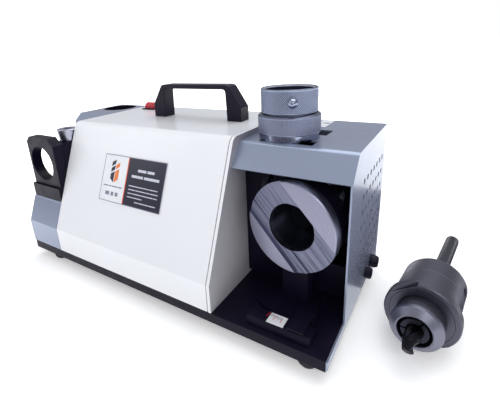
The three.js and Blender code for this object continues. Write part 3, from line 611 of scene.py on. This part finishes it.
def knurl_pattern():
    """Two families of slanting grooves round the Z axis, cut where the `knurl` mark is 1."""
    pattern = Pattern("knurl", [("Depth", "Float"), ("Teeth", "Float"), ("Slant", "Float")])
    spot = pattern.node("InputPosition")
    apart = pattern.node("ShaderNodeSeparateXYZ", plain=True)
    pattern.join(spot.outputs[0], apart.inputs[0])
    x, y, z = apart.outputs
    sizes = pattern.start.outputs
    turn = pattern.math("DIVIDE", pattern.math("ARCTAN2", y, x), 2 * math.pi)
    around = pattern.math("MULTIPLY", turn, sizes["Teeth"])
    rise = pattern.math("MULTIPLY", z, sizes["Slant"])

    def groove(run):
        part = pattern.math("FRACT", pattern.math("ADD", run, 1000.0))
        return pattern.math("MULTIPLY", pattern.math("ABSOLUTE", pattern.math("SUBTRACT", part, 0.5)), 2.0)

    right_hand = groove(pattern.math("ADD", around, rise))
    left_hand = groove(pattern.math("SUBTRACT", around, rise))
    mark = pattern.node("InputNamedAttribute", data_type="FLOAT")
    mark.inputs["Name"].default_value = "knurl"
    cut = pattern.math("MAXIMUM", right_hand, left_hand)
    depth = pattern.math("MULTIPLY", pattern.math("MULTIPLY", cut, mark.outputs["Attribute"]), sizes["Depth"])
    inward = pattern.node("ShaderNodeCombineXYZ", plain=True)
    pattern.join(x, inward.inputs["X"])
    pattern.join(y, inward.inputs["Y"])
    unit = pattern.node("ShaderNodeVectorMath", plain=True, operation="NORMALIZE")
    pattern.join(inward.outputs[0], unit.inputs[0])
    push = pattern.node("ShaderNodeVectorMath", plain=True, operation="SCALE")
    pattern.join(unit.outputs[0], push.inputs[0])
    pattern.join(pattern.math("MULTIPLY", depth, -1.0), push.inputs["Scale"])
    moved = pattern.node("SetPosition")
    pattern.join(sizes["Geometry"], moved.inputs["Geometry"])
    pattern.join(push.outputs[0], moved.inputs["Offset"])
    pattern.close(moved.outputs[0])
    return pattern


def fastener_pattern():
    """One head at each start point, its top turned to the point's `facing`."""
    pattern = Pattern("fasteners", [("Head", "Object"), ("Size", "Float")])
    sizes = pattern.start.outputs
    head = pattern.node("ObjectInfo", transform_space="ORIGINAL")
    head.inputs["As Instance"].default_value = True
    pattern.join(sizes["Head"], head.inputs["Object"])
    facing = pattern.node("InputNamedAttribute", data_type="FLOAT_VECTOR")
    facing.inputs["Name"].default_value = "facing"
    turn = pattern.node("FunctionNodeAlignRotationToVector", plain=True, axis="Z")
    pattern.join(facing.outputs["Attribute"], turn.inputs["Vector"])
    spread = pattern.node("InstanceOnPoints")
    pattern.join(sizes["Geometry"], spread.inputs["Points"])
    pattern.join(head.outputs["Geometry"], spread.inputs["Instance"])
    pattern.join(turn.outputs[0], spread.inputs["Rotation"])
    pattern.join(sizes["Size"], spread.inputs["Scale"])
    pattern.close(spread.outputs[0])
    return pattern


knurl = knurl_pattern()
fasteners = fastener_pattern()


def hexagon(radius):
    return lambda turn: radius * math.cos(math.pi / 6) / math.cos((turn % (math.pi / 3)) - math.pi / 6)


def cross(radius):
    def reach(turn):
        part = abs(((turn + math.pi / 4) % (math.pi / 2)) - math.pi / 4)
        return radius if part < 0.30 else radius * 0.38
    return reach


def head_shape(name, rings, segments=24):
    """A screw head with a radius of 1 mm, which `screws` copies and scales."""
    return placed_object(name, turned_mesh(rings, segments))


socket_head = head_shape("socket_head_shape", [
    (0, 0), (0.93, 0), (1, 0.08), (1, 0.85), (0.94, 0.97), (0.86, 1.0),
    (hexagon(0.56), 1.0), (hexagon(0.52), 0.95), (hexagon(0.52), 0.45), (0, 0.42),
])
cross_head = head_shape("cross_head_shape", [
    (0, 0), (0.96, 0), (1, 0.10), (0.97, 0.30), (0.84, 0.52), (0.68, 0.62),
    (cross(0.56), 0.66), (cross(0.50), 0.62), (cross(0.36), 0.25), (0, 0.22),
], 32)


def screws(name, head, size, spots, material, body):
    """Copies of a 1 mm head, `size` times as large. Each spot is (place, way it faces).

    Known fault: every call gives its radius times MM, so the heads come out a thousand
    times too small to see. The radius alone, without MM, is what `size` needs."""
    mesh = mesh_of([at(*place) for place, facing in spots], [])
    marks = mesh.attributes.new("facing", "FLOAT_VECTOR", "POINT")
    for mark, (place, facing) in zip(marks.data, spots):
        mark.vector = facing
    piece = fasteners.grow(name, mesh, material, Head=head, Size=size)
    return settle(piece, body)


def knurled_ring(name, rows, material, place, teeth, depth, slant, per_tooth=4):
    """A ring from (radius, height, knurl) rows that close on themselves."""
    segments = teeth * per_tooth
    mesh = turned_mesh([(radius, height) for radius, height, mark in rows], segments, loop=True)
    marks = mesh.attributes.new("knurl", "FLOAT", "POINT")
    values = np.repeat([float(mark) for radius, height, mark in rows], segments)
    marks.data.foreach_set("value", values)
    for edge in mesh.edges:
        edge.use_edge_sharp = False
    piece = knurl.grow(name, mesh, material, Depth=depth * MM, Teeth=float(teeth), Slant=slant)
    piece.data.transform(place)
    return piece


def knurl_rows(radius, low, high, count):
    return [(radius, low + (high - low) * k / count, 1) for k in range(count + 1)]


# ------------------------------------------------------------ housings and base


def build_housings():
    dressed("base_plate", black, 0.5)
    for row in ("front", "rear"):
        for column in ("left", "right"):
            dressed(f"foot_{row}_{column}", rubber, 0.7, angle=30)
    dressed("white_cover", white, 0.45)
    dressed("bay_liner", liner_enamel_and_shade, 0.35)
    dressed("right_housing", silver, 0.4)
    dressed("rear_panel", silver, 0.35)
    dressed("left_lower_housing", silver, 0.4)
    dressed("left_upper_housing", silver, 0.4)
    dressed("bay_back_plate", black, 0.3)
    dressed("carry_handle", black_plastic, 1.1, angle=20, segments=3)
    dressed("switch_bezel", black_plastic, 0.4)
    dressed("switch_rocker", red_plastic, 0.8, angle=14, segments=3)


def build_fasteners():
    across = [8, 104, 200, 288, 392]
    low_row, middle_row, high_row, high_row_right = 16.5, 86, 158, 153
    backwards = (0, 1, 0)
    edge_spots = [((x, rear_face, low_row), backwards) for x in across]
    for x in across:
        high = high_row_right if x > liner_face else high_row
        edge_spots.append(((x, rear_face, high), backwards))
    edge_spots += [((x, rear_face, middle_row), backwards) for x in (8, 392)]
    screws("rear_panel_screws", cross_head, 3.6 * MM, edge_spots, screw_steel, "machine_base")
    screws(
        "liner_screw", cross_head, 2.6 * MM, [((liner_face, 6, 18.5), (1, 0, 0))],
        screw_steel, "machine_base",
    )
    recess = -9
    foot_spots = [((x, y, recess), (0, 0, -1)) for x in (36, 380) for y in (14, 166)]
    screws("foot_screws", cross_head, 3.0 * MM, foot_spots, screw_steel, "machine_base")
    side_spots = [((right_face, y, 12), (1, 0, 0)) for y in (10, 92, 172)]
    screws("side_panel_screws", cross_head, 2.6 * MM, side_spots, screw_steel, "machine_base")


# ------------------------------------------------------------ label


def slope_frame():
    """Origin at the label's lower left corner, X to the right, Y up the slope, Z outwards."""
    along = Vector((0, cover_lean, 1)).normalized()
    out = Vector((1, 0, 0)).cross(along)
    low = 86.5
    start = at(126.8, cover_lean * (low - cover_knee), low) + out * 0.75 * MM
    turn = Matrix((Vector((1, 0, 0)), along, out)).transposed().to_4x4()
    return Matrix.Translation(start) @ turn


def flat_prints(name, outlines, place, material, low=0.03, high=0.10, body="machine_base"):
    """Thin printed shapes on a flat face. Each outline is a list of points, in millimetres."""
    points, faces = [], []
    for outline in outlines:
        first, count = len(points), len(outline)
        points += [Vector((u, v, low)) * MM for u, v in outline]
        points += [Vector((u, v, high)) * MM for u, v in outline]
        faces.append([first + i for i in reversed(range(count))])
        faces.append([first + count + i for i in range(count)])
        for i in range(count):
            k = (i + 1) % count
            faces.append([first + i, first + k, first + count + k, first + count + i])
    mesh = mesh_of(points, faces)
    work = bmesh.new()
    work.from_mesh(mesh)
    bmesh.ops.recalc_face_normals(work, faces=work.faces)
    work.to_mesh(mesh)
    work.free()
    mesh.transform(place)
    return settle(placed_object(name, mesh, material), body)


def block(u0, v0, u1, v1):
    return [(u0, v0), (u1, v0), (u1, v1), (u0, v1)]


def word_row(u0, u1, v, height, words):
    """A row of blocks of uneven length that reads as a line of small print."""
    gap = height * 0.6
    total = sum(words)
    room = (u1 - u0) - gap * (len(words) - 1)
    shapes, u = [], u0
    for word in words:
        width = room * word / total
        shapes.append(block(u, v, u + width, v + height))
        u += width + gap
    return shapes


def build_label():
    place = slope_frame()
    width, height, divide = 93.2, 52.4, 37.5
    dressed("front_label", label_white, 0.12, segments=1)
    border = 0.7
    edges = [
        block(0, 0, width, border), block(0, height - border, width, height),
        block(0, border, border, height - border), block(width - border, border, width, height - border),
    ]
    flat_prints("label_border", edges, place, label_grey)
    foot, head = border, height - border
    orange_end, red_end = divide + 0.8, divide + 1.6
    fields = [
        ("label_dark_field", red_end, width - border, label_navy),
        ("label_orange_line", divide, orange_end, label_orange),
        ("label_red_line", orange_end, red_end, label_red),
    ]
    for name, left, right, ink in fields:
        flat_prints(name, [block(left, foot, right, head)], place, ink)

    middle, half, slit = 19.0, 6.2, 0.5
    outer_left, inner_left = middle - half, middle - slit
    inner_right, outer_right = middle + slit, middle + half
    left_flutes, right_flutes = [], []
    for i in range(3):
        v = 26 + i * 6.6
        left_flutes.append([
            (outer_left, v), (inner_left, v + 3.4), (inner_left, v + 8.2), (outer_left, v + 4.8),
        ])
        right_flutes.append([
            (inner_right, v + 3.9), (outer_right, v + 7.3), (outer_right, v + 12.1), (inner_right, v + 8.7),
        ])
    left_flutes[0] = [(outer_left, 25.5), (inner_left, 21.5), (inner_left, 34.2), (outer_left, 30.8)]
    right_flutes[0] = [(inner_right, 21.5), (outer_right, 25.5), (outer_right, 37.6), (inner_right, 34.2)]
    flat_prints("label_pictogram_left", left_flutes, place, label_black)
    flat_prints("label_pictogram_right", right_flutes[:2], place, label_orange)
    small = word_row(4, 34, 16.6, 1.3, [5, 3, 6, 4])
    bold = word_row(9, 29, 7.0, 4.2, [3, 2, 2])
    flat_prints("label_left_print", small + bold, place, label_grey)

    lines = word_row(54, 78, 38.0, 2.8, [5, 4])
    lines += word_row(46, 86, 31.2, 2.8, [7, 9])
    lines += word_row(44, 86, 21.6, 1.0, [9, 3, 5, 7])
    lines += word_row(44, 87, 17.6, 1.0, [6, 8, 3, 6])
    lines += word_row(44, 87, 13.6, 1.0, [4, 7, 9, 3])
    lines += word_row(44, 66, 9.6, 1.0, [5, 6])
    lines += word_row(56, 86, 5.2, 1.0, [3, 6, 4])
    flat_prints("label_pale_print", lines, place, label_pale, low=0.11, high=0.17)

    dressed("rating_plate", label_white, 0.1, segments=1)
    plate = Matrix.Translation(at(297, 142, roof_top + 0.6))
    bars = [block(42.3, 16, 49.2, 20)]
    flat_prints("rating_bar", bars, plate, label_grey)
    rows = []
    for i, words in enumerate([[6, 3, 4], [4, 7], [8, 3, 2], [5, 5, 3], [3, 9]]):
        rows += word_row(3, 38, 29 - i * 5.4, 1.6, words)
    flat_prints("rating_print", rows, plate, label_grey)


# ------------------------------------------------------------ front port and its scale


def build_front_port():
    dressed("port_disc", disc_steel, 0.35, angle=30, segments=2)
    dressed("port_sleeve", bore_steel, 0.2)
    dressed("port_barrel", black, 0.4)
    dressed("port_post", black, 0.5)
    dressed("swivel_table", black, 0.4)
    dressed("angle_pointer", black, 0.3)
    dressed("swivel_pin", screw_steel, 0.4)
    dressed("scale_block", black, 0.4)
    dressed("angle_scale_plate", label_white, 0.1, segments=1)

    screws(
        "scale_screws", socket_head, 2.3 * MM,
        [((x, 18, scale_top), (0, 0, 1)) for x in (329.5, 378)],
        screw_steel, "machine_base",
    )
    table_top = base_top + 4.3
    table_spots, out_from_pin = [], 50
    for angle in (-21, 21):
        turn = math.radians(-90 + angle + port_yaw_degrees)
        x, y = port_x + out_from_pin * math.cos(turn), port_y + out_from_pin * math.sin(turn)
        table_spots.append(((x, y, table_top), (0, 0, 1)))
    screws("table_screws", socket_head, 3.0 * MM, table_spots, black_screw, "front_port")

    plate = Matrix.Translation(at(0, 0, scale_top + 0.5))
    ticks, reds = [], []
    for i in range(-5, 6):
        long = i % 5 == 0
        foot = Vector((port_x, port_y))
        turn = math.radians(-90 + port_yaw_degrees + i * 1.1)
        way = Vector((math.cos(turn), math.sin(turn)))
        side = Vector((-way.y, way.x)) * (0.28 if long else 0.18)
        start, end = foot + way * 65.5, foot + way * (71.5 if long else 69.0)
        outline = [start - side, end - side, end + side, start + side]
        (reds if long else ticks).append([tuple(p) for p in outline])
    flat_prints("scale_ticks", ticks, plate, label_black)
    flat_prints("scale_long_ticks", reds, plate, label_red)


# ------------------------------------------------------------ gauge on the roof


def build_gauge():
    dressed("gauge_flange", gauge_polish, 0.4)
    dressed("gauge_sleeve", gauge_polish, 0.3)
    dressed("gauge_tray", black, 0.3)
    dressed("gauge_pin", gauge_polish, 0, angle=60)

    teeth = 84
    radius, low, high = lower_ring["radius"], lower_ring["low"], lower_ring["high"]
    rows = [(ring_bore, low, 0), (radius - 0.5, low, 0), (radius, low + 0.5, 0)]
    rows += knurl_rows(radius, low + 0.7, high - 2.2, 36)
    rows += [(radius, high - 2.0, 0), (radius - 0.3, high - 1.6, 0), (radius - 1.9, high - 0.1, 0)]
    rows += [(radius - 2.3, high, 0), (ring_bore, high, 0)]
    slant = 6.5 / ((high - 2.2 - low - 0.7) * MM)
    ring = knurled_ring("knurled_lower_ring", rows, lower_steel, gauge_place, teeth, 0.5, slant, 6)
    settle(ring, "lower_ring")
    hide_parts("gauge_lower_ring")

    teeth = 76
    radius, low, high = upper_ring["radius"], upper_ring["low"], upper_ring["high"]
    rows = [(ring_bore, low, 0), (radius - 1.2, low, 0), (radius - 0.2, low + 0.9, 0), (radius, low + 1.2, 0)]
    rows += knurl_rows(radius, low + 1.5, high - 1.6, 52)
    rows += [(radius, high - 1.3, 0), (radius - 0.3, high - 0.5, 0), (radius - 0.9, high, 0)]
    rows += [(ring_bore + 0.3, high, 0), (ring_bore, high - 0.3, 0)]
    slant = 9 / ((high - 1.6 - low - 1.5) * MM)
    ring = knurled_ring("knurled_upper_ring", rows, upper_steel, gauge_place, teeth, 0.5, slant, 6)
    settle(ring, "upper_ring")
    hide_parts("gauge_upper_ring")
    # A thin lining inside the bore carries that painted reflection.
    outer, inner = ring_bore + 0.1, ring_bore - 0.05
    lining = [(outer, low + 0.6), (outer, high - 0.4), (inner, high - 0.5), (inner, low + 0.7)]
    turned_piece(
        "upper_bore_lining", lining, bore_painted_reflection, gauge_place, "upper_ring", 96, loop=True,
    )

    turn, screw_height, screw_reach = math.radians(-33), 173.5, 28.4
    way = Vector((math.cos(turn), math.sin(turn), 0))
    spot = Vector((gauge_x, gauge_y, screw_height)) + way * screw_reach
    screws(
        "ring_set_screw", socket_head, 2.4 * MM, [(tuple(spot), tuple(way))],
        black_screw, "lower_ring",
    )


# ------------------------------------------------------------ left-hand ports


def build_left_ports():
    dressed("relief_port", black, 0.25)
    dressed("thinning_port_block", black, 0.5)
    dressed("thinning_port_base", black, 0.5)
    dressed("thinning_arm", black, 0.5)
    dressed("thinning_knob", knob_metal, 0.4, angle=30)
    screws(
        "slide_screws", socket_head, 2.6 * MM,
        [((x, y, 88), (0, 0, 1)) for x in (10, 28) for y in (42, 54)],
        black_screw, "machine_base",
    )


# ------------------------------------------------------------ chuck and drill


def build_chuck():
    dressed("collet_nut", nose_steel, 0.35, angle=30)
    dressed("index_flange", gunmetal, 0.45)
    dressed("chuck_body", gunmetal, 0.35, angle=30)
    dressed("collet", jaw_steel, 0.2)

    rows = [(19.0, 9.3, 0), (19.3, 9.3, 0), (19.5, 9.6, 0)]
    rows += knurl_rows(19.55, 10.0, 19.6, 8)
    rows += [(19.5, 20.0, 0), (19.3, 20.3, 0), (19.0, 20.3, 0)]
    hatch = knurled_ring("nose_straight_knurl", rows, gunmetal, along_chuck, 90, 0.3, 0.0)
    settle(hatch, "chuck")
    step = [(26.2, 53.3), (26.62, 53.5), (26.62, 54.1), (26.2, 54.3)]
    turned_piece("body_step_ring", step, nose_steel, along_chuck, "chuck", 96, loop=True)

    build_drill()


def build_drill():
    """A twist drill: plain shank, then two flutes that wind to a 118 degree point."""
    radius, tip, flute_end, shank_end = 6.5, -22.0, 62.0, 172.0
    segments, lead = 72, 70.0
    point = 1 / math.tan(math.radians(59))
    flute_half, land_end = 0.62, 1.25  # radians from the middle of a flute

    def reach(turn, depth):
        """Distance from the axis to the edge of the section, with two flutes of that depth."""
        folded = (turn % math.pi) - math.pi / 2
        flute = math.exp(-((folded / flute_half) ** 4))
        land = 0.035 * radius if flute_half < abs(folded) < land_end else 0
        return radius - depth * flute - land

    points, rows = [], []

    def add_row(depth, height, share=1.0, cone=False):
        row = []
        for i in range(segments):
            turn = 2 * math.pi * i / segments
            r = reach(turn, depth) * share
            z = tip + r * point if cone else height
            twist = 2 * math.pi * min(z, flute_end) / lead
            row.append(len(points))
            points.append(Vector((r * math.cos(turn + twist), r * math.sin(turn + twist), z)) * MM)
        rows.append(row)

    full = 3.9
    for share in (0.02, 0.2, 0.4, 0.6, 0.8, 1.0):
        add_row(full, 0, share, cone=True)
    steps, run_out = 60, 14
    start = tip + radius * point + 0.3
    for k in range(steps + 1):
        height = start + (flute_end - start) * k / steps
        left = (flute_end - height) / run_out
        depth = full * max(0.0, min(1.0, left)) ** 0.7
        add_row(depth, height)
    for below, share in ((1.6, 1.0), (0.8, 0.93), (0.1, 0.78), (0, 0.6)):
        add_row(0.0, shank_end - below, share)
    faces = []
    for a, b in zip(rows, rows[1:]):
        for i in range(segments):
            k = (i + 1) % segments
            faces.append([a[i], a[k], b[k], b[i]])
    faces.append(list(reversed(rows[0])))
    faces.append(rows[-1])
    mesh = mesh_of(points, faces)
    work = bmesh.new()
    work.from_mesh(mesh)
    bmesh.ops.recalc_face_normals(work, faces=work.faces)
    shade_by_angle(work, 40)
    work.to_mesh(mesh)
    work.free()
    mesh.transform(along_chuck)
    mesh.materials.append(drill_tip_steel)
    mesh.materials.append(drill_steel)
    mouth = chuck_place @ Vector((0, 30 * MM, 0))
    along = (chuck_place.to_3x3() @ Vector((0, 1, 0))).normalized()
    for face in mesh.polygons:
        face.material_index = int((face.center - mouth).dot(along) > 0)
    drill = placed_object("twist_drill", mesh)
    settle(drill, "chuck")
    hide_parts("drill_bit")


# ------------------------------------------------------------ motor, wheels and small fittings


def build_inside():
    finishes = {
        "motor_can": black, "motor_bell_left": hub_aluminium, "motor_bell_right": hub_aluminium,
        "bearing_left": shaft_steel, "bearing_right": shaft_steel, "motor_saddle": black,
        "rotor_shaft": shaft_steel, "cooling_fan": black_plastic,
        "grinding_wheel_hub": hub_aluminium, "grinding_wheel_rim": grit, "grinding_wheel_nut": black_screw,
        "thinning_wheel_hub": hub_aluminium, "thinning_wheel_rim": grit, "thinning_wheel_nut": black_screw,
        "wheel_guard": black, "capacitor": hub_aluminium,
    }
    for node, material in finishes.items():
        dressed(node, material, 0.3)
    dressed("cable_gland", black_plastic, 0.4, angle=30)
    dressed("fuse_holder", black_plastic, 0.4, angle=30)


def build_floor():
    reach = 60
    corners = [(-reach, -reach, 0), (reach, -reach, 0), (reach, reach, 0), (-reach, reach, 0)]
    mesh = mesh_of(corners, [[0, 1, 2, 3]])
    floor = placed_object("floor", mesh, pale_floor())

    # Dark cards on the bench beside and in front of the machine, seen only in its shine.
    card_height = -11
    cards = {
        "side_card": [(404, 130), (560, 130), (620, 420), (404, 420)],
        "front_card": [(-500, -1500), (1100, -1500), (900, -330), (-300, -330)],
    }
    for name, outline in cards.items():
        mesh = mesh_of([at(x, y, card_height) for x, y in outline], [[0, 1, 2, 3]])
        card = placed_object(name, mesh, card_finish)
        card.visible_camera = False
        card.visible_diffuse = False
        card.visible_shadow = False


build_studio()
build_housings()
build_fasteners()
build_label()
build_front_port()
build_gauge()
build_left_ports()
build_chuck()
build_inside()
build_floor()
for shape in (socket_head, cross_head):
    bpy.data.objects.remove(shape)
